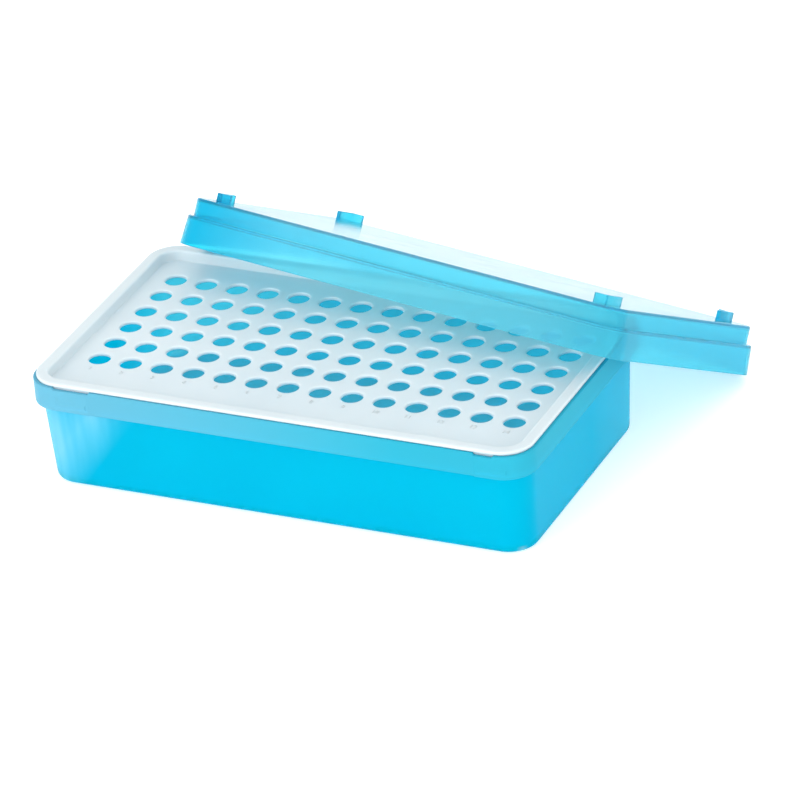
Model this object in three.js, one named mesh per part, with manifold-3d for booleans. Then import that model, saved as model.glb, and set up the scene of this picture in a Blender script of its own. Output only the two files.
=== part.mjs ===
// Cryogenic tube storage box: a tub, a perforated rack that sits in its mouth,
// and a loose lid that leans over the rear edge of the tub.
// Millimetres, +Z up. The origin is the centre of the tub's underside.
// X runs along the rows of holes and -Y is the front.
import * as THREE from 'three';
import { mergeVertices } from 'three/addons/utils/BufferGeometryUtils.js';
import Module from 'manifold-3d';

// Hole grid
const holeColumns = 14;
const holeRows = 6;
const holePitch = 15.5;
const holeDiameter = 10;
const gridShiftY = 5.8; // the wider margin of the plate is at the front

// Heights above the table
const rimZ = 51.3;
const rackTopZ = 53.3;
const plateTopZ = 48.3;
const collarBottomZ = 39.8;

// Tub: outer sizes of the collar, and of the body under it
const collarLength = 241.5;
const collarWidth = 139;
const collarRadius = 14.5;
const bodyTopLength = 236.5;
const bodyTopWidth = 131.5;
const bodyBottomLength = 233;
const bodyBottomWidth = 127;
const bodyRadius = 13;
const footRadius = 2.5; // rounding between the wall and the underside
const tubWall = 1.8;
const tubFloor = 2;

// Rack
const rackLength = 239;
const rackWidth = 136.5;
const rackRadius = 14;
const rackWall = 1.4;
const plateThickness = 1.8;
const lipThickness = 1.6;
const lipInset = 5.4; // width of the flat lip round the plate
const recessDraft = 0.5;
const skirtClearance = 0.4; // between the rack's skirt and the inside of the collar

// Lid: outer sizes of the skirt at its mouth, then the step up to the narrower crown
const lidLength = 238;
const lidWidth = 135;
const lidRadius = 13;
const skirtDraft = 0.95; // how much narrower each side of the skirt is at the step
const lidStep = 2.4;
const crownHeight = 8.4;
const crownEdge = 1; // rounding of the crown's top edge
const skirtHeight = 13.6;
const lidWall = 1.3;
const tabInsetX = 10; // from the crown's corner to the outer corner of a tab
const tabInsetY = 6.8;
const tabArmX = 7.3;
const tabArmY = 12.8;
const tabThickness = 2;
const tabHeight = 4.2;
const tabRoot = 0.6; // how far a tab is sunk into the crown

// How the lid leans: the centre of its top face and its turns about Z, Y and X
const lidCentre = new THREE.Vector3(28.1, 90, 53.7);
const lidTurnZ = THREE.MathUtils.degToRad(-10.4);
const lidTurnY = THREE.MathUtils.degToRad(0.63);
const lidTurnX = THREE.MathUtils.degToRad(-29.6);

const cornerSteps = 7; // facets on each rounded corner
const holeFacets = 16;
const smallestRadius = 0.5; // an inset corner never gets sharper than this
const arcMiddle = 1 - Math.SQRT1_2; // how far in the middle of a quarter round lies, in radii

const wasm = await Module();
wasm.setup();

// One level of a lofted wall: a rounded rectangle at height z
function ring(length, width, radius, z) {
  return { length, width, radius, z };
}

// The same level, moved in by a distance on every side
function inset(level, distance, z = level.z) {
  const radius = Math.max(level.radius - distance, smallestRadius);
  return ring(level.length - 2 * distance, level.width - 2 * distance, radius, z);
}

function ringPoints({ length, width, radius, z }) {
  const points = [];
  const corners = [[1, 1], [-1, 1], [-1, -1], [1, -1]];
  corners.forEach(([signX, signY], quarter) => {
    const centreX = signX * (length / 2 - radius);
    const centreY = signY * (width / 2 - radius);
    for (let step = 0; step <= cornerSteps; step += 1) {
      const angle = (quarter + step / cornerSteps) * Math.PI / 2;
      points.push(centreX + radius * Math.cos(angle), centreY + radius * Math.sin(angle), z);
    }
  });
  return points;
}

// Closed body through a list of levels. The first level is capped facing down
// and the last is capped facing up, so the list follows the surface from the
// middle of the underside, out and round, to the middle of the top.
function loft(levels) {
  const count = 4 * (cornerSteps + 1);
  const positions = levels.flatMap(ringPoints);
  const indices = [];
  for (let level = 0; level < levels.length - 1; level += 1) {
    for (let side = 0; side < count; side += 1) {
      const a = level * count + side;
      const b = level * count + (side + 1) % count;
      indices.push(a, b, b + count, a, b + count, a + count);
    }
  }
  const last = levels.length - 1;
  const firstCentre = positions.length / 3;
  positions.push(0, 0, levels[0].z, 0, 0, levels[last].z);
  for (let side = 0; side < count; side += 1) {
    const next = (side + 1) % count;
    indices.push(firstCentre, next, side);
    indices.push(firstCentre + 1, last * count + side, last * count + next);
  }
  const geometry = new THREE.BufferGeometry();
  geometry.setAttribute('position', new THREE.Float32BufferAttribute(positions, 3));
  geometry.setIndex(indices);
  return geometry;
}

function toSolid(geometry) {
  const bare = geometry.clone();
  bare.deleteAttribute('normal');
  bare.deleteAttribute('uv');
  const merged = mergeVertices(bare);
  return new wasm.Manifold(new wasm.Mesh({
    numProp: 3,
    vertProperties: new Float32Array(merged.attributes.position.array),
    triVerts: new Uint32Array(merged.index.array),
  }));
}

function toGeometry(solid) {
  const mesh = solid.getMesh();
  const geometry = new THREE.BufferGeometry();
  geometry.setAttribute('position', new THREE.Float32BufferAttribute(mesh.vertProperties, 3));
  geometry.setIndex(Array.from(mesh.triVerts));
  geometry.computeVertexNormals();
  return geometry;
}

function namedMesh(name, geometry, material) {
  const mesh = new THREE.Mesh(geometry, material);
  mesh.name = name;
  return mesh;
}

// Tub: a drafted body with a wider collar round its mouth. Inside, the change
// of width makes the shelf that the rack's skirt stands on.
function tubGeometry() {
  const foot = ring(bodyBottomLength, bodyBottomWidth, bodyRadius, footRadius);
  const bodyTop = ring(bodyTopLength, bodyTopWidth, bodyRadius, collarBottomZ);
  const collar = ring(collarLength, collarWidth, collarRadius, collarBottomZ);
  const shelfZ = collarBottomZ + tubWall;
  return loft([
    inset(foot, footRadius, 0),
    inset(foot, footRadius * arcMiddle, footRadius * arcMiddle),
    foot,
    bodyTop,
    collar,
    ring(collarLength, collarWidth, collarRadius, rimZ),
    inset(collar, tubWall, rimZ),
    inset(collar, tubWall, shelfZ),
    inset(bodyTop, tubWall, shelfZ),
    inset(foot, tubWall, tubFloor + footRadius),
    inset(foot, tubWall + footRadius, tubFloor),
  ]);
}

// Rack blank: a recessed plate inside a flat lip, with a skirt round it
function rackBlank() {
  const underLipZ = rackTopZ - lipThickness;
  const skirtBottomZ = collarBottomZ + tubWall + skirtClearance;
  const lip = ring(rackLength, rackWidth, rackRadius, rackTopZ);
  const skirt = ring(
    collarLength - 2 * (tubWall + skirtClearance),
    collarWidth - 2 * (tubWall + skirtClearance),
    collarRadius - tubWall - skirtClearance,
    underLipZ,
  );
  const recess = inset(lip, lipInset);
  return loft([
    inset(recess, recessDraft - rackWall, plateTopZ - plateThickness),
    inset(recess, -rackWall, underLipZ),
    inset(skirt, rackWall),
    inset(skirt, rackWall, skirtBottomZ),
    inset(skirt, 0, skirtBottomZ),
    skirt,
    inset(lip, 0, underLipZ),
    lip,
    recess,
    inset(recess, recessDraft, plateTopZ),
  ]);
}

function rackGeometry() {
  const drill = new THREE.CylinderGeometry(
    holeDiameter / 2, holeDiameter / 2, plateThickness + 2, holeFacets,
  ).rotateX(Math.PI / 2);
  let rack = toSolid(rackBlank());
  for (let row = 0; row < holeRows; row += 1) {
    for (let column = 0; column < holeColumns; column += 1) {
      const x = (column - (holeColumns - 1) / 2) * holePitch;
      const y = ((holeRows - 1) / 2 - row) * holePitch + gridShiftY;
      const z = plateTopZ - plateThickness / 2;
      rack = rack.subtract(toSolid(drill.clone().translate(x, y, z)));
    }
  }
  return toGeometry(rack);
}

// L-shaped stacking tab. Its arms run from the tab's outer corner towards the
// middle of the lid, and the two signs say which corner of the lid it is on.
function tabGeometry(signX, signY) {
  const cornerX = lidLength / 2 - skirtDraft - lidStep - tabInsetX;
  const cornerY = lidWidth / 2 - skirtDraft - lidStep - tabInsetY;
  const outline = [
    [0, 0], [tabArmX, 0], [tabArmX, tabThickness],
    [tabThickness, tabThickness], [tabThickness, tabArmY], [0, tabArmY],
  ].map(([x, y]) => new THREE.Vector2(signX * (cornerX - x), signY * (cornerY - y)));
  return new THREE.ExtrudeGeometry(new THREE.Shape(outline), {
    depth: tabHeight + tabRoot, bevelEnabled: false, steps: 1,
  }).translate(0, 0, -tabRoot);
}

// Lid in its own frame: the top face is at z = 0 and the mouth faces down
function lidGeometry() {
  const mouth = ring(lidLength, lidWidth, lidRadius, -crownHeight - skirtHeight);
  const skirtTop = inset(mouth, skirtDraft, -crownHeight);
  const crown = inset(skirtTop, lidStep, 0);
  let lid = toSolid(loft([
    inset(crown, lidWall, -lidWall),
    inset(crown, lidWall, -crownHeight - lidWall),
    inset(skirtTop, lidWall, -crownHeight - lidWall),
    inset(mouth, lidWall),
    mouth,
    skirtTop,
    inset(crown, 0, -crownHeight),
    inset(crown, 0, -crownEdge),
    inset(crown, crownEdge, 0),
  ]));
  for (const [signX, signY] of [[1, 1], [-1, 1], [-1, -1], [1, -1]]) {
    lid = lid.add(toSolid(tabGeometry(signX, signY)));
  }
  return toGeometry(lid);
}

const tubPlastic = new THREE.MeshStandardMaterial({
  color: 0x12c4ee, roughness: 0.35, metalness: 0, transparent: true, opacity: 0.85,
});
const rackPlastic = new THREE.MeshStandardMaterial({
  color: 0xdfe8f0, roughness: 0.5, metalness: 0,
});
const lidPlastic = new THREE.MeshStandardMaterial({
  color: 0x6ccdf0, roughness: 0.3, metalness: 0, transparent: true, opacity: 0.7,
});

const box = new THREE.Group();
box.add(namedMesh('base_tub', tubGeometry(), tubPlastic));
box.add(namedMesh('tube_rack', rackGeometry(), rackPlastic));

const leaningLid = namedMesh('lid', lidGeometry(), lidPlastic);
leaningLid.rotation.set(lidTurnX, lidTurnY, lidTurnZ, 'ZYX');
leaningLid.position.copy(lidCentre);
box.add(leaningLid);

export default box;
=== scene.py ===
import math

import bmesh
import bpy
from mathutils import Matrix, Vector


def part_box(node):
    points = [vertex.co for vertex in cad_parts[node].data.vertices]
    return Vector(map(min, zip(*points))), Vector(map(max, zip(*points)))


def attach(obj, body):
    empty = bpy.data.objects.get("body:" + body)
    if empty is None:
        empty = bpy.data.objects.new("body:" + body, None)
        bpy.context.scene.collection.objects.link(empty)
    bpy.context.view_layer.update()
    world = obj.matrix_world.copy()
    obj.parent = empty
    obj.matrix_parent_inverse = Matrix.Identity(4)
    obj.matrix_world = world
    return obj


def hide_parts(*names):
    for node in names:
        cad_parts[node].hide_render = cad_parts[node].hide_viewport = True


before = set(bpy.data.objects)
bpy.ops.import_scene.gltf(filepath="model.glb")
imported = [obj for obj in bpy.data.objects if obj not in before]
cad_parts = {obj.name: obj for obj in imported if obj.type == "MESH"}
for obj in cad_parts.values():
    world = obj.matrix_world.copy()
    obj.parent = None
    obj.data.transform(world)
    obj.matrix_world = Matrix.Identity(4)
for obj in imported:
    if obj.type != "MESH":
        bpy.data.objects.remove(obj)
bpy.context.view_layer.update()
mm = 0.001

tubLow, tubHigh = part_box("base_tub")
rackLow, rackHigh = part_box("tube_rack")
lidLow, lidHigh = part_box("lid")

view = {
    "azimuth": 26.53,
    "elevation": 28.75,
    "roll": -4.83,
    "distance": 2.647,
    "aside": 0.0263,  # the object sits left of the middle of the frame
    "below": 0.0227,  # and a little above it
    "lens": 268.3,
}


def placeCamera(target):
    turn, lift, roll = (math.radians(view[key]) for key in ("azimuth", "elevation", "roll"))
    back = Vector((math.sin(turn) * math.cos(lift), -math.cos(turn) * math.cos(lift), math.sin(lift)))
    sideways = Vector((math.cos(turn), math.sin(turn), 0))
    upright = back.cross(sideways)
    right = sideways * math.cos(roll) + upright * math.sin(roll)
    up = upright * math.cos(roll) - sideways * math.sin(roll)
    place = target + right * view["aside"] - up * view["below"] + back * view["distance"]
    lens = bpy.data.cameras.new("camera")
    lens.lens = view["lens"]
    lens.clip_end = 20
    camera = bpy.data.objects.new("camera", lens)
    camera.matrix_world = Matrix.Translation(place) @ Matrix((right, up, back)).transposed().to_4x4()
    bpy.context.scene.collection.objects.link(camera)
    bpy.context.scene.camera = camera


cornerSteps = 18
mostCut = 0.42  # share of the way to the next level that a rounding may take up
mostReach = 0.47
stripReach = 1.3
smallestRadius = 0.3 * mm
tiny = 0.001 * mm
near = 0.01 * mm  # points this close together count as one
sharpAngle = math.radians(50)
guard = 0.8 * mm  # a flat strip kept beside every rounding, so that it shades cleanly


def level(halfX, halfY, radius, z, cut=0.0, panel=0.0, drop=0.0):
    return [halfX, halfY, radius, z, cut, panel, drop]


def moved(base, grow, z, cut=0.0, panel=0.0, drop=0.0):
    return level(base[0] + grow, base[1] + grow, max(base[2] + grow, smallestRadius), z, cut, panel, drop)


def mixed(a, b, share):
    return [p + (q - p) * share for p, q in zip(a, b)]


def span(a, b):
    return math.hypot(max(abs(a[0] - b[0]), abs(a[1] - b[1])), a[3] - b[3])


# Each level with a cut becomes a short curve, with a guard strip on both sides
def rounded(path, steps=5):
    result = [path[0]]
    for before, here, after in zip(path, path[1:], path[2:]):
        cut = here[4]
        if cut <= 0:
            result.append(here)
            continue
        backward, forward = span(here, before), span(here, after)
        start = mixed(here, before, min(cut / backward, mostCut))
        end = mixed(here, after, min(cut / forward, mostCut))
        result.append(mixed(here, before, min(cut * stripReach / backward, mostReach)))
        for step in range(steps + 1):
            share = step / steps
            result.append(mixed(mixed(start, here, share), mixed(here, end, share), share))
        result.append(mixed(here, after, min(cut * stripReach / forward, mostReach)))
    result.append(path[-1])
    return result


def ringPoints(values, stops):
    halfX, halfY, radius, z, _, panel, drop = values
    centreX, centreY = halfX - radius, halfY - radius
    longSide = [guard - centreX] + stops + [centreX - guard]
    points = []
    for quarter, (signX, signY) in enumerate(((1, 1), (-1, 1), (-1, -1), (1, -1))):
        for step in range(cornerSteps + 1):
            angle = (quarter + step / cornerSteps) * math.pi / 2
            points.append((signX * centreX + radius * math.cos(angle),
                           signY * centreY + radius * math.sin(angle), z))
        if quarter % 2:
            points += [(signX * halfX, signY * along, z) for along in (centreY - guard, guard - centreY)]
            continue
        for x in reversed(longSide) if signX > 0 else longSide:
            inPanel = bool(stops) and stops[1] - tiny < x < stops[2] + tiny
            points.append((x, signY * (halfY - panel * inPanel), z - drop * (not inPanel)))
    return points


def loft(bm, path, stops=(), caps=True):
    rings = [[bm.verts.new(point) for point in ringPoints(values, list(stops))] for values in path]
    count = len(rings[0])
    for lower, upper in zip(rings, rings[1:]):
        for side in range(count):
            following = (side + 1) % count
            bm.faces.new((lower[side], lower[following], upper[following], upper[side]))
    if caps:
        bm.faces.new(list(reversed(rings[0])))
        bm.faces.new(rings[-1])
    return rings[0], rings[-1]


def finishMesh(bm, name, material):
    mesh = bpy.data.meshes.new(name)
    bm.to_mesh(mesh)
    bm.free()
    mesh.polygons.foreach_set("use_smooth", [True] * len(mesh.polygons))
    mesh.set_sharp_from_angle(angle=sharpAngle)
    mesh.materials.append(material)
    mesh.update()
    return mesh


def newPiece(name, mesh, body, slot, *replaced):
    piece = bpy.data.objects.new(name, mesh)
    bpy.context.scene.collection.objects.link(piece)
    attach(piece, body)
    if replaced:
        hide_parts(*replaced)
    return piece


# One watertight mesh out of two overlapping solids; both objects are then dropped
def joined(body, added, name):
    for thing in (body, added):
        bpy.context.scene.collection.objects.link(thing)
    join = body.modifiers.new("join", "BOOLEAN")
    join.operation = "UNION"
    join.solver = "EXACT"
    join.object = added
    mesh = plainMesh(body, name)
    bpy.data.objects.remove(added)
    mesh.set_sharp_from_angle(angle=sharpAngle)  # the join leaves new, unmarked edges
    return mesh


# The evaluated shape of an object as a mesh of its own; the object is then dropped
def plainMesh(thing, name):
    bpy.context.view_layer.update()
    shape = thing.evaluated_get(bpy.context.evaluated_depsgraph_get())
    mesh = bpy.data.meshes.new_from_object(shape)
    mesh.name = name
    bpy.data.objects.remove(thing)
    return mesh


def newMaterial(name):
    material = bpy.data.materials.new(name)
    material.use_nodes = True
    tree = material.node_tree
    return material, tree.nodes, tree.links, tree.nodes["Principled BSDF"]


# What the three plastics share; the rest is in the look of each
plastic = {
    "cloudDetail": 3,
    "cloudRange": (0.3, 0.7),
    "streakDetail": 4,
    "streakStretch": 0.12,
    "grainDetail": 2,
    "grainDepth": 0.2 * mm,
    "milkyTint": (0.9, 1.0, 1.0),
    "milkyReach": 4 * mm,
}


def mouldedPlastic(name, look):
    material, nodes, links, shader = newMaterial(name)
    place = nodes.new("ShaderNodeTexCoord")
    clouds = nodes.new("ShaderNodeTexNoise")
    clouds.inputs["Scale"].default_value = look["cloudScale"]
    clouds.inputs["Detail"].default_value = plastic["cloudDetail"]
    links.new(place.outputs["Object"], clouds.inputs["Vector"])
    tint = nodes.new("ShaderNodeValToRGB")
    for stop, position, shade in zip(tint.color_ramp.elements, plastic["cloudRange"], ("deep", "pale")):
        stop.position = position
        stop.color = (*look[shade], 1)
    links.new(clouds.outputs["Fac"], tint.inputs["Fac"])
    links.new(tint.outputs["Color"], shader.inputs["Base Color"])

    streaks = nodes.new("ShaderNodeTexNoise")  # faint flow lines of the melt
    streaks.inputs["Scale"].default_value = look["streakScale"]
    streaks.inputs["Detail"].default_value = plastic["streakDetail"]
    stretch = nodes.new("ShaderNodeMapping")
    stretch.inputs["Scale"].default_value = (1, 1, plastic["streakStretch"])
    links.new(place.outputs["Object"], stretch.inputs["Vector"])
    links.new(stretch.outputs["Vector"], streaks.inputs["Vector"])
    gloss = nodes.new("ShaderNodeMapRange")
    gloss.inputs["To Min"].default_value = look["roughness"] - look["roughnessSpread"]
    gloss.inputs["To Max"].default_value = look["roughness"] + look["roughnessSpread"]
    links.new(streaks.outputs["Fac"], gloss.inputs["Value"])
    links.new(gloss.outputs["Result"], shader.inputs["Roughness"])

    grain = nodes.new("ShaderNodeTexNoise")  # the slightly uneven skin that the mould leaves
    grain.inputs["Scale"].default_value = look["grainScale"]
    grain.inputs["Detail"].default_value = plastic["grainDetail"]
    links.new(place.outputs["Object"], grain.inputs["Vector"])
    relief = nodes.new("ShaderNodeBump")
    relief.inputs["Strength"].default_value = look["grainStrength"]
    relief.inputs["Distance"].default_value = plastic["grainDepth"]
    links.new(grain.outputs["Fac"], relief.inputs["Height"])
    links.new(relief.outputs["Normal"], shader.inputs["Normal"])

    shader.inputs["IOR"].default_value = look["ior"]
    shader.inputs["Specular IOR Level"].default_value = look["shine"]
    shader.inputs["Specular Tint"].default_value = (*look["shineTint"], 1)
    shader.inputs["Transmission Weight"].default_value = look["clear"]
    shader.inputs["Subsurface Weight"].default_value = look["milky"]
    shader.inputs["Subsurface Radius"].default_value = plastic["milkyTint"]
    shader.inputs["Subsurface Scale"].default_value = plastic["milkyReach"]
    if look["depth"] > 0:  # the longer the way through the plastic, the deeper its colour
        soak = nodes.new("ShaderNodeVolumeAbsorption")
        soak.inputs["Color"].default_value = (*look["depthColor"], 1)
        soak.inputs["Density"].default_value = look["depth"]
        links.new(soak.outputs["Volume"], nodes["Material Output"].inputs["Volume"])
    return material


# A value that goes from 0 at low to 1 at high
def ramp(nodes, links, value, low, high):
    scale = nodes.new("ShaderNodeMapRange")
    scale.inputs["From Min"].default_value = low
    scale.inputs["From Max"].default_value = high
    links.new(value, scale.inputs["Value"])
    return scale.outputs["Result"]


def arithmetic(nodes, links, operation, *values):
    step = nodes.new("ShaderNodeMath")
    step.operation = operation
    for socket, value in zip(step.inputs, values):
        if isinstance(value, (int, float)):
            socket.default_value = value
        else:
            links.new(value, socket)
    return step.outputs["Value"]


def blend(nodes, links, share, first, second):
    mixer = nodes.new("ShaderNodeMixRGB")
    links.new(share, mixer.inputs["Fac"])
    for name, value in (("Color1", first), ("Color2", second)):
        if isinstance(value, tuple):
            mixer.inputs[name].default_value = (*value, 1)
        else:
            links.new(value, mixer.inputs[name])
    return mixer.outputs["Color"]


# What every paint job starts from: the coordinates on the piece and the tint so far
def paintAxes(material):
    nodes, links = material.node_tree.nodes, material.node_tree.links
    shader = nodes["Principled BSDF"]
    place = nodes.new("ShaderNodeTexCoord").outputs["Object"]
    axes = nodes.new("ShaderNodeSeparateXYZ")
    links.new(place, axes.inputs["Vector"])
    return nodes, links, shader, place, axes.outputs, shader.inputs["Base Color"].links[0].from_socket


tub = {
    "bodyInset": (2.5 * mm, 3.75 * mm),  # from the collar to the top of the body
    "footInset": (4.25 * mm, 6 * mm),  # from the collar to the foot
    "collarHeight": 11.5 * mm,
    "collarRadius": 14.5 * mm,
    "bodyRadius": 13 * mm,
    "wall": 1.8 * mm,
    "floor": 2 * mm,
    "footRound": 2.5 * mm,
    "edgeRound": 0.7 * mm,
    "rimLift": 0.25 * mm,  # the rack's lip all but rests on the rim
    "panel": (-88 * mm, 96.5 * mm),  # the collar's long sides stand back between its corner blocks
    "panelDepth": 0.5 * mm,
    "panelFlank": 0.6 * mm,
    "rimDrop": 0.9 * mm,  # the rim is lower over the corner blocks
    "strips": ((-104.3 * mm, -90.1 * mm), (97.6 * mm, 111.7 * mm)),  # raised marks on the front corner blocks
    "stripZ": (42.5 * mm, 45.1 * mm),
    "stripHeight": 0.3 * mm,
}

tubLook = {
    "deep": (0.0, 0.65, 0.86), "pale": (0.0, 0.69, 0.89), "cloudScale": 14,
    "roughness": 0.22, "roughnessSpread": 0.04, "streakScale": 60, "shine": 0.12,
    "shineTint": (0.1, 0.9, 1.0), "ior": 1.12,
    "grainScale": 120, "grainStrength": 0.1, "clear": 0.64, "milky": 0.0,
    "depth": 250, "depthColor": (0.0, 0.93, 0.99),
}
tubPaintedLight = {
    # painted light: the collar is painted paler, most at its left end, standing in for the white rack seen
    # through it
    "collarLightLeft": (0.17, 0.52, 0.69),
    "collarLightRight": (0.04, 0.50, 0.67),
    "collarFade": (-110 * mm, 60 * mm),
    "collarFrom": (39.6 * mm, 40.1 * mm),
    "collarClear": 0.3,
    "paintedLightPatch": (0.26, 0.68, 0.84),  # painted light: a paler patch at the left end of the front wall, standing in for the lit left wall seen through it
    "patchEdge": (-98 * mm, -121 * mm),
    "patchSlope": -0.79,
    "patchFront": (-50 * mm, -60 * mm),
    "patchClear": 0.8,
    "streakScale": 90,
    "streakTurn": -25,
    "streakStretch": 0.1,
    "streakRange": (0.2, 0.6),
    # painted light: the rear and the inside floor are painted paler, standing in for light inside the tub
    # seen through the holes
    "rearPaintedLight": (0.15, 0.78, 0.92),
    "rearFrom": (10 * mm, 66 * mm),
    "bottomPaintedLight": (0.30, 0.82, 0.92),
    "bottomTo": (3.4 * mm, 2.4 * mm),
    "bottomReach": {"X": (114.5 * mm, 113 * mm), "Y": (61.5 * mm, 60 * mm)},
}


# Painted light: the mask of the paler, streaky patch at the left end of the front wall
def streakyLightPatch(nodes, links, place, axes):
    slanted = arithmetic(nodes, links, "MULTIPLY_ADD", axes["Z"], tubPaintedLight["patchSlope"], axes["X"])
    paintedLightPatch = ramp(nodes, links, slanted, *tubPaintedLight["patchEdge"])
    front = ramp(nodes, links, axes["Y"], *tubPaintedLight["patchFront"])
    streak = nodes.new("ShaderNodeTexNoise")
    streak.inputs["Scale"].default_value = tubPaintedLight["streakScale"]
    slope = nodes.new("ShaderNodeMapping")
    slope.inputs["Rotation"].default_value = (0, math.radians(tubPaintedLight["streakTurn"]), 0)
    slope.inputs["Scale"].default_value = (1, 1, tubPaintedLight["streakStretch"])
    links.new(place, slope.inputs["Vector"])
    links.new(slope.outputs["Vector"], streak.inputs["Vector"])
    streaks = ramp(nodes, links, streak.outputs["Fac"], *tubPaintedLight["streakRange"])
    paintedLightPatch = arithmetic(nodes, links, "MULTIPLY", paintedLightPatch, front)
    return arithmetic(nodes, links, "MULTIPLY", paintedLightPatch, streaks)


# Painted light: where the inside floor is painted paler
def insideFloor(nodes, links, axes):
    share = ramp(nodes, links, axes["Z"], *tubPaintedLight["bottomTo"])
    for axis, edge in tubPaintedLight["bottomReach"].items():
        reach = arithmetic(nodes, links, "ABSOLUTE", axes[axis])
        share = arithmetic(nodes, links, "MULTIPLY", share, ramp(nodes, links, reach, *edge))
    return share


# Painted light: the collar is painted paler than the body, most of all at its left end, standing in for the
# white rack seen through it, and the patch, the rear and the floor are painted paler, standing in for light
# seen through the walls and the holes. The collar and the patch are also less clear.
def paintTubLight(material):
    nodes, links, shader, place, axes, tint = paintAxes(material)
    fade = ramp(nodes, links, axes["X"], *tubPaintedLight["collarFade"])
    collarLightTint = blend(nodes, links, fade, tubPaintedLight["collarLightLeft"], tubPaintedLight["collarLightRight"])
    collar = ramp(nodes, links, axes["Z"], *tubPaintedLight["collarFrom"])
    paintedLightPatch = streakyLightPatch(nodes, links, place, axes)
    rearPaintedLight = ramp(nodes, links, axes["Y"], *tubPaintedLight["rearFrom"])
    bottomPaintedLight = insideFloor(nodes, links, axes)
    for share, name in ((paintedLightPatch, "paintedLightPatch"), (rearPaintedLight, "rearPaintedLight"), (bottomPaintedLight, "bottomPaintedLight")):
        tint = blend(nodes, links, share, tint, tubPaintedLight[name])
    links.new(blend(nodes, links, collar, tint, collarLightTint), shader.inputs["Base Color"])
    paintedLightPatch = arithmetic(nodes, links, "MULTIPLY", paintedLightPatch, tubPaintedLight["patchClear"])
    dull = arithmetic(nodes, links, "MAXIMUM", collar, paintedLightPatch)
    bodyClear, collarClear = tubLook["clear"], tubPaintedLight["collarClear"]
    clear = arithmetic(nodes, links, "MULTIPLY_ADD", dull, collarClear - bodyClear, bodyClear)
    links.new(clear, shader.inputs["Transmission Weight"])


# A raised bar on the collar's front that follows the collar round its corner
def stripSolid(bm, start, end, halfX, halfY, steps=12):
    radius, (low, high), height = tub["collarRadius"], tub["stripZ"], tub["stripHeight"]
    columns = []
    for step in range(steps + 1):
        x = start + (end - start) * step / steps
        past = max(abs(x) - (halfX - radius), 0)
        y = -(halfY - radius + math.sqrt(radius ** 2 - past ** 2))
        columns.append([bm.verts.new((x, y - out, z)) for out, z in (
            (-height, low), (-height, high), (0, high), (height, high - height * 2),
            (height, low + height * 2), (0, low))])
    count = len(columns[0])
    for before, after in zip(columns, columns[1:]):
        for side in range(count):
            following = (side + 1) % count
            bm.faces.new((before[side], before[following], after[following], after[side]))
    bm.faces.new(list(reversed(columns[0])))
    bm.faces.new(columns[-1])
    bmesh.ops.recalc_face_normals(bm, faces=bm.faces)


def makeTub():
    halfX, halfY = (tubHigh.x - tubLow.x) / 2, (tubHigh.y - tubLow.y) / 2
    rimZ = tubHigh.z + tub["rimLift"]
    collarZ = rimZ - tub["collarHeight"]
    wall, edge, footRound = tub["wall"], tub["edgeRound"], tub["footRound"]
    depth = tub["panelDepth"]
    collar = level(halfX, halfY, tub["collarRadius"], collarZ)
    bodyTop = level(halfX - tub["bodyInset"][0], halfY - tub["bodyInset"][1], tub["bodyRadius"], collarZ)
    foot = level(halfX - tub["footInset"][0], halfY - tub["footInset"][1], tub["bodyRadius"], 0)
    inside = moved(foot, -wall, tub["floor"], footRound * 0.8)
    path = rounded([
        moved(foot, -footRound * 3, 0),
        moved(foot, 0, 0, footRound),
        moved(bodyTop, 0, collarZ, edge * 0.7),
        moved(collar, 0, collarZ, edge * 1.2, depth),
        moved(collar, 0, rimZ, edge * 0.6, depth, tub["rimDrop"]),
        moved(collar, -wall, rimZ, edge * 0.6, 0, tub["rimDrop"]),
        moved(collar, -wall, collarZ + wall, edge * 0.6),
        moved(bodyTop, -wall, collarZ + wall, edge * 0.7),
        inside,
        moved(inside, -footRound * 3, tub["floor"]),
    ])
    bm = bmesh.new()
    (first, last), flank = tub["panel"], tub["panelFlank"]
    loft(bm, path, (first - flank, first, last, last + flank))
    body = bpy.data.objects.new("tub", finishMesh(bm, "tubShell", tubPlastic))
    marks = bmesh.new()
    for start, end in tub["strips"]:
        stripSolid(marks, start, end, halfX, halfY)
    mesh = joined(body, bpy.data.objects.new("strips", finishMesh(marks, "strips", tubPlastic)), "tub")
    return newPiece("tub", mesh, "tub", "tub_plastic", "base_tub")


tubPlastic = mouldedPlastic("tubPlastic", tubLook)
paintTubLight(tubPlastic)
makeTub()
print("tub made")


holes = {
    "columns": 14,
    "rows": 6,
    "pitch": 15.5 * mm,
    "radius": 5 * mm,
    "shiftY": 5.8 * mm,  # the wider margin of the plate is at the front
    "edge": 0.6 * mm,  # rounding of each hole's edge
    "steps": 40,
}

rack = {
    "radius": 14 * mm,
    "wall": 1.4 * mm,
    "lip": 5.4 * mm,
    "lipThickness": 1.6 * mm,
    "recess": 5 * mm,
    "plate": 1.8 * mm,
    "draft": 0.5 * mm,
    "clearance": 0.4 * mm,
    "edgeRound": 0.7 * mm,
}

numbers = {
    "size": 3.6 * mm,
    "height": 0.25 * mm,
    "gap": 9.5 * mm,  # from the centres of the front row
}

rackLook = {
    "deep": (0.62, 0.71, 0.75), "pale": (0.67, 0.75, 0.78), "cloudScale": 20,
    "roughness": 0.45, "roughnessSpread": 0.05, "streakScale": 60, "ior": 1.49,
    "grainScale": 120, "grainStrength": 0.1, "clear": 0.0, "milky": 0.5, "shine": 0.4,
    "shineTint": (1.0, 1.0, 1.0),
    "depth": 0,
}


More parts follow.
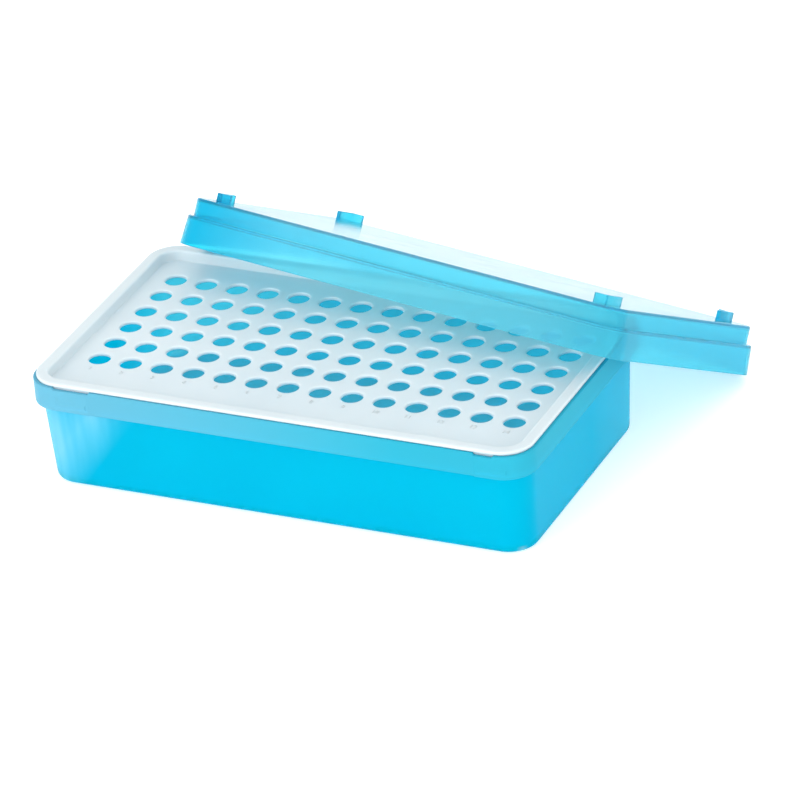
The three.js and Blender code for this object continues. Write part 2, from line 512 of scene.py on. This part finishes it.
# One square of the plate with its hole, centred on the origin, its top at z = 0
def holeCell():
    half, radius, edge = holes["pitch"] / 2, holes["radius"], holes["edge"]
    thickness, steps = rack["plate"], holes["steps"]
    profile = [(radius + edge * 2.4, 0), (radius + edge, 0), (radius + edge * 0.3, -edge * 0.3),
               (radius, -edge), (radius, -edge * 1.2), (radius, edge * 1.2 - thickness),
               (radius, edge - thickness), (radius + edge * 0.3, edge * 0.3 - thickness),
               (radius + edge, -thickness), (radius + edge * 2.4, -thickness)]
    bm = bmesh.new()
    rings = []
    for reach, z in profile:
        angles = [2 * math.pi * step / steps for step in range(steps)]
        rings.append([bm.verts.new((reach * math.cos(a), reach * math.sin(a), z)) for a in angles])
    for outer, inner in zip(rings, rings[1:]):
        for side in range(steps):
            following = (side + 1) % steps
            bm.faces.new((outer[side], outer[following], inner[following], inner[side]))
    for ring, z, upward in ((rings[0], 0, True), (rings[-1], -thickness, False)):
        corners = [bm.verts.new((x * half, y * half, z)) for x, y in ((1, 1), (-1, 1), (-1, -1), (1, -1))]
        quarter = steps // 4
        for index, corner in enumerate(corners):
            arc = [ring[(index * quarter + step) % steps] for step in range(quarter + 1)]
            face = [corner] + list(reversed(arc))
            bm.faces.new(face if upward else list(reversed(face)))
            wedge = [corners[index - 1], corner, arc[0]]
            bm.faces.new(wedge if upward else list(reversed(wedge)))
    return finishMesh(bm, "holeCell", rackPlastic)


# A node tree that repeats a cell over a grid and merges the cells into one sheet
def holeGridTree():
    tree = bpy.data.node_groups.new("holeGrid", "GeometryNodeTree")
    tree.is_modifier = True
    face = tree.interface
    sockets = {}
    for name, kind in (("Cell", "NodeSocketObject"), ("Columns", "NodeSocketInt"), ("Rows", "NodeSocketInt"),
                       ("Pitch", "NodeSocketFloat"), ("Place", "NodeSocketVector"),
                       ("Material", "NodeSocketMaterial")):
        sockets[name] = face.new_socket(name=name, in_out="INPUT", socket_type=kind).identifier
    face.new_socket(name="Geometry", in_out="OUTPUT", socket_type="NodeSocketGeometry")
    nodes, links = tree.nodes, tree.links
    given = nodes.new("NodeGroupInput")
    grid = nodes.new("GeometryNodeMeshGrid")
    for count, size, points in (("Columns", "Size X", "Vertices X"), ("Rows", "Size Y", "Vertices Y")):
        gaps = nodes.new("ShaderNodeMath")
        gaps.operation = "SUBTRACT"
        gaps.inputs[1].default_value = 1
        length = nodes.new("ShaderNodeMath")
        length.operation = "MULTIPLY"
        links.new(given.outputs[count], gaps.inputs[0])
        links.new(gaps.outputs[0], length.inputs[0])
        links.new(given.outputs["Pitch"], length.inputs[1])
        links.new(length.outputs[0], grid.inputs[size])
        links.new(given.outputs[count], grid.inputs[points])
    cell = nodes.new("GeometryNodeObjectInfo")
    links.new(given.outputs["Cell"], cell.inputs["Object"])
    repeat = nodes.new("GeometryNodeInstanceOnPoints")
    links.new(grid.outputs["Mesh"], repeat.inputs["Points"])
    links.new(cell.outputs["Geometry"], repeat.inputs["Instance"])
    shift = nodes.new("GeometryNodeTransform")
    links.new(repeat.outputs["Instances"], shift.inputs["Geometry"])
    links.new(given.outputs["Place"], shift.inputs["Translation"])
    solid = nodes.new("GeometryNodeRealizeInstances")
    links.new(shift.outputs["Geometry"], solid.inputs["Geometry"])
    weld = nodes.new("GeometryNodeMergeByDistance")
    weld.inputs["Distance"].default_value = near
    links.new(solid.outputs["Geometry"], weld.inputs["Geometry"])
    paint = nodes.new("GeometryNodeSetMaterial")
    links.new(weld.outputs["Geometry"], paint.inputs["Geometry"])
    links.new(given.outputs["Material"], paint.inputs["Material"])
    links.new(paint.outputs["Geometry"], nodes.new("NodeGroupOutput").inputs["Geometry"])
    return tree, sockets


def perforatedSheet(place):
    cell = bpy.data.objects.new("holeCell", holeCell())
    sheet = bpy.data.objects.new("sheet", bpy.data.meshes.new("sheet"))
    for thing in (cell, sheet):
        bpy.context.scene.collection.objects.link(thing)
    tree, sockets = holeGridTree()
    grid = sheet.modifiers.new("holeGrid", "NODES")
    grid.node_group = tree
    values = {"Cell": cell, "Columns": holes["columns"], "Rows": holes["rows"], "Pitch": holes["pitch"],
              "Place": place, "Material": rackPlastic}
    for name, value in values.items():
        grid[sockets[name]] = value
    mesh = plainMesh(sheet, "perforatedSheet")
    bpy.data.objects.remove(cell)
    return mesh


# The corners of the outer cells, in order round the perforated sheet at height z
def gridOutline(bm, place, z):
    halfX, halfY = holes["columns"] * holes["pitch"] / 2, holes["rows"] * holes["pitch"] / 2
    outline = []
    for vert in bm.verts:
        x, y = vert.co.x - place.x, vert.co.y - place.y
        onEdge = abs(abs(x) - halfX) < near or abs(abs(y) - halfY) < near
        if onEdge and abs(vert.co.z - z) < near and any(edge.is_boundary for edge in vert.link_edges):
            outline.append(vert)
    return outline


# Flat margin between the shell's ring and the outline of the perforated sheet
def fillMargin(bm, ring, outline):
    edges = []
    for loop in (ring, outline):
        members = set(loop)
        for vert in loop:
            for edge in vert.link_edges:
                if edge.is_boundary and edge.other_vert(vert) in members and edge not in edges:
                    edges.append(edge)
    bmesh.ops.triangle_fill(bm, edges=edges, use_beauty=True)


def makeRack():
    halfX, halfY = (rackHigh.x - rackLow.x) / 2, (rackHigh.y - rackLow.y) / 2
    topZ, skirtZ = rackHigh.z, rackLow.z
    underLipZ = topZ - rack["lipThickness"]
    plateZ = topZ - rack["recess"]
    wall, edge = rack["wall"], rack["edgeRound"]
    inset = tub["wall"] + rack["clearance"]
    lip = level(halfX, halfY, rack["radius"], topZ)
    skirt = level((tubHigh.x - tubLow.x) / 2 - inset, (tubHigh.y - tubLow.y) / 2 - inset,
                  tub["collarRadius"] - inset, underLipZ)
    recess = moved(lip, -rack["lip"], topZ)
    floorEdge = moved(recess, -rack["draft"], plateZ)
    path = rounded([
        moved(floorEdge, -guard * 2, plateZ - rack["plate"]),
        moved(floorEdge, wall, plateZ - rack["plate"], edge),
        moved(recess, wall, underLipZ, edge * 0.5),
        moved(skirt, -wall, underLipZ, edge * 0.5),
        moved(skirt, -wall, skirtZ, edge * 0.6),
        moved(skirt, 0, skirtZ, edge * 0.6),
        moved(skirt, 0, underLipZ, edge * 0.3),
        moved(lip, 0, underLipZ, edge * 0.6),
        moved(lip, 0, topZ, edge),
        moved(recess, 0, topZ, edge * 1.4),
        moved(floorEdge, 0, plateZ, edge * 1.2),
        moved(floorEdge, -guard * 2, plateZ),
    ])
    place = Vector((0, holes["shiftY"], plateZ))
    bm = bmesh.new()
    bm.from_mesh(perforatedSheet(place))
    topOutline = gridOutline(bm, place, plateZ)
    lowOutline = gridOutline(bm, place, plateZ - rack["plate"])
    lowRing, topRing = loft(bm, path, caps=False)
    fillMargin(bm, topRing, topOutline)
    fillMargin(bm, lowRing, lowOutline)
    bmesh.ops.recalc_face_normals(bm, faces=bm.faces)
    return newPiece("rack", finishMesh(bm, "rack", rackPlastic), "rack", "rack_plastic", "tube_rack")


# A number in front of each column of holes, standing a little proud of the plate
def makeNumbers():
    plateZ = rackHigh.z - rack["recess"]
    frontRow = holes["shiftY"] - (holes["rows"] - 1) / 2 * holes["pitch"]
    bm = bmesh.new()
    for column in range(holes["columns"]):
        text = bpy.data.curves.new("number", "FONT")
        text.body = str(column + 1)
        text.size = numbers["size"]
        text.extrude = numbers["height"]
        text.align_x = "CENTER"
        text.align_y = "CENTER"
        sign = bpy.data.objects.new("number", text)
        bpy.context.scene.collection.objects.link(sign)
        mesh = plainMesh(sign, "number")
        x = (column - (holes["columns"] - 1) / 2) * holes["pitch"]
        mesh.transform(Matrix.Translation((x, frontRow - numbers["gap"], plateZ)))
        bm.from_mesh(mesh)
    return newPiece("columnNumbers", finishMesh(bm, "columnNumbers", rackPlastic), "rack", "rack_plastic")


rackPlastic = mouldedPlastic("rackPlastic", rackLook)
makeRack()
makeNumbers()
print("rack made")


lid = {
    "length": 238 * mm,
    "width": 135 * mm,
    "radius": 13 * mm,
    "draft": 0.95 * mm,  # lean-in of the skirt on each side, from the mouth up to the step
    "step": 2.4 * mm,
    "crown": 8.4 * mm,
    "skirt": 13.6 * mm,
    "wall": 1.3 * mm,
    "edgeRound": 1 * mm,
    "turns": (-29.6, 0.63, -10.4),  # degrees about X, Y and Z
    "tabInset": (10 * mm, 6.8 * mm),
    "tabArms": (7.3 * mm, 12.8 * mm),
    "tabThickness": 2 * mm,
    "tabHeight": 4.2 * mm,
    "tabRoot": 0.6 * mm,
    "tabRound": 0.35 * mm,
}

lidLook = {
    "deep": (0.29, 0.84, 0.95), "pale": (0.43, 0.89, 0.97), "cloudScale": 9,
    "roughness": 0.18, "roughnessSpread": 0.04, "streakScale": 60, "shine": 0.4, "ior": 1.3,
    "shineTint": (0.2, 0.9, 1.0),
    "grainScale": 120, "grainStrength": 0.03, "clear": 0.78, "milky": 0.0,
    "depth": 480, "depthColor": (0.0, 0.92, 0.98),
}
lidPaintedShade = {
    # painted shade: deeper tints for the lid's two ends
    "left": (0.03, 0.70, 0.88),
    "leftFrom": (-40 * mm, -90 * mm),
    "right": (0.14, 0.76, 0.90),
    "rightFrom": (90 * mm, 140 * mm),
}


# Painted shade: the lid's colour is painted deeper towards its two ends, standing in for how light comes
# through it there
def paintLidShade(material):
    nodes, links, shader, _, axes, tint = paintAxes(material)
    for end in ("left", "right"):
        share = ramp(nodes, links, axes["X"], *lidPaintedShade[end + "From"])
        tint = blend(nodes, links, share, tint, lidPaintedShade[end])
    links.new(tint, shader.inputs["Base Color"])


def tabSolid(bm, signX, signY):
    cornerX = lid["length"] / 2 - lid["draft"] - lid["step"] - lid["tabInset"][0]
    cornerY = lid["width"] / 2 - lid["draft"] - lid["step"] - lid["tabInset"][1]
    armX, armY = lid["tabArms"]
    thick = lid["tabThickness"]
    outline = [(0, 0), (armX, 0), (armX, thick), (thick, thick), (thick, armY), (0, armY)]
    if signX * signY < 0:
        outline.reverse()
    points = [(signX * (cornerX - x), signY * (cornerY - y)) for x, y in outline]
    rings = [[bm.verts.new((x, y, z)) for x, y in points] for z in (-lid["tabRoot"], lid["tabHeight"])]
    lower, upper = rings
    faces = [bm.faces.new(list(reversed(lower))), bm.faces.new(upper)]
    for side in range(len(points)):
        following = (side + 1) % len(points)
        faces.append(bm.faces.new((lower[side], lower[following], upper[following], upper[side])))
    soft = [edge for edge in faces[1].edges] + [edge for face in faces[2:] for edge in face.edges
                                                if abs(edge.verts[0].co.z - edge.verts[1].co.z) > tiny]
    bmesh.ops.bevel(bm, geom=list(set(soft)), offset=lid["tabRound"], segments=3, profile=0.5,
                    affect="EDGES")


def lidMesh():
    wall, edge = lid["wall"], lid["edgeRound"]
    mouthZ = -lid["crown"] - lid["skirt"]
    ledgeZ = -lid["crown"]
    mouth = level(lid["length"] / 2, lid["width"] / 2, lid["radius"], mouthZ)
    skirt = moved(mouth, -lid["draft"], ledgeZ)
    crown = moved(skirt, -lid["step"], 0)
    path = rounded([
        moved(crown, -wall - guard * 4, -wall),
        moved(crown, -wall, -wall, edge * 0.8),
        moved(crown, -wall, ledgeZ - wall, edge * 0.4),
        moved(skirt, -wall, ledgeZ - wall, edge * 0.6),
        moved(mouth, -wall, mouthZ, edge * 0.4),
        moved(mouth, 0, mouthZ, edge * 0.4),
        moved(skirt, 0, ledgeZ, edge * 0.8),
        moved(crown, 0, ledgeZ, edge * 0.5),
        moved(crown, 0, 0, edge),
        moved(crown, -guard * 4, 0),
    ])
    bm = bmesh.new()
    loft(bm, path)
    shell = finishMesh(bm, "lidShell", lidPlastic)
    tabs = bmesh.new()
    for signX, signY in ((1, 1), (-1, 1), (-1, -1), (1, -1)):
        tabSolid(tabs, signX, signY)
    bmesh.ops.recalc_face_normals(tabs, faces=tabs.faces)
    return joined(bpy.data.objects.new("lidShell", shell),
                  bpy.data.objects.new("tabs", finishMesh(tabs, "tabs", lidPlastic)), "lid")


def makeLid():
    mesh = lidMesh()
    turnX, turnY, turnZ = (Matrix.Rotation(math.radians(angle), 4, axis)
                           for angle, axis in zip(lid["turns"], "XYZ"))
    mesh.transform(turnZ @ turnY @ turnX)
    corners = [[pick(vert.co[axis] for vert in mesh.vertices) for axis in range(3)] for pick in (min, max)]
    middle = (Vector(corners[0]) + Vector(corners[1])) / 2
    mesh.transform(Matrix.Translation((lidLow + lidHigh) / 2 - middle))
    return newPiece("lid", mesh, "lid", "lid_plastic", "lid")


lidPlastic = mouldedPlastic("lidPlastic", lidLook)
paintLidShade(lidPlastic)
makeLid()
print("lid made")


studio = {
    "floorSize": 6,
    "floorDrop": 0.2 * mm,  # keeps the floor clear of the underside
    "floorShade": 0.9,
    "floorRoughness": 0.8,
    "floorGlow": 0.42,  # lit from below, like a light table
    "sky": 0.95,
    "softboxes": {  # place, size, power and target
        "keyLight": ((-0.8, -0.9, 1.8), (1.6, 1.6), 4, (0, 0, 0)),
        "rearLight": ((0.4, 1.6, 1.4), (2.0, 1.2), 4, (0, 0, 0)),
        "frontLight": ((-0.5, -1.6, 0.55), (1.5, 0.8), 12, (0, 0.05, 0.05)),
        "sideLight": ((1.6, -0.7, 0.6), (1.0, 0.8), 6, (0, 0.05, 0.05)),
    },
}


def softbox(name, place, size, power, target):
    lamp = bpy.data.lights.new(name, "AREA")
    lamp.shape = "RECTANGLE"
    lamp.size, lamp.size_y = size
    lamp.energy = power
    light = bpy.data.objects.new(name, lamp)
    light.location = place
    light.rotation_euler = (Vector(target) - Vector(place)).to_track_quat("-Z", "Y").to_euler()
    bpy.context.scene.collection.objects.link(light)


def makeStage():
    bm = bmesh.new()
    bmesh.ops.create_grid(bm, x_segments=1, y_segments=1, size=studio["floorSize"])
    floorMesh = bpy.data.meshes.new("floor")
    bm.to_mesh(floorMesh)
    bm.free()
    material, _, _, shader = newMaterial("paleFloor")
    shader.inputs["Base Color"].default_value = (*[studio["floorShade"]] * 3, 1)
    shader.inputs["Roughness"].default_value = studio["floorRoughness"]
    shader.inputs["Emission Color"].default_value = (1, 1, 1, 1)
    shader.inputs["Emission Strength"].default_value = studio["floorGlow"]
    floorMesh.materials.append(material)
    floor = bpy.data.objects.new("floor", floorMesh)
    floor.location.z = -studio["floorDrop"]
    bpy.context.scene.collection.objects.link(floor)

    world = bpy.data.worlds.new("studio")
    world.use_nodes = True
    sky = world.node_tree.nodes["Background"]
    sky.inputs["Color"].default_value = (1, 1, 1, 1)
    sky.inputs["Strength"].default_value = studio["sky"]
    bpy.context.scene.world = world
    for name, (place, size, power, target) in studio["softboxes"].items():
        softbox(name, place, size, power, target)


placeCamera(Vector((0, holes["shiftY"], rackHigh.z - rack["recess"])))
makeStage()
scene = bpy.context.scene
scene.view_settings.view_transform = "Standard"
scene.cycles.max_bounces = 24
scene.cycles.transmission_bounces = 20
scene.cycles.transparent_max_bounces = 16
scene.cycles.diffuse_bounces = 6
scene.cycles.glossy_bounces = 8
print("stage set")
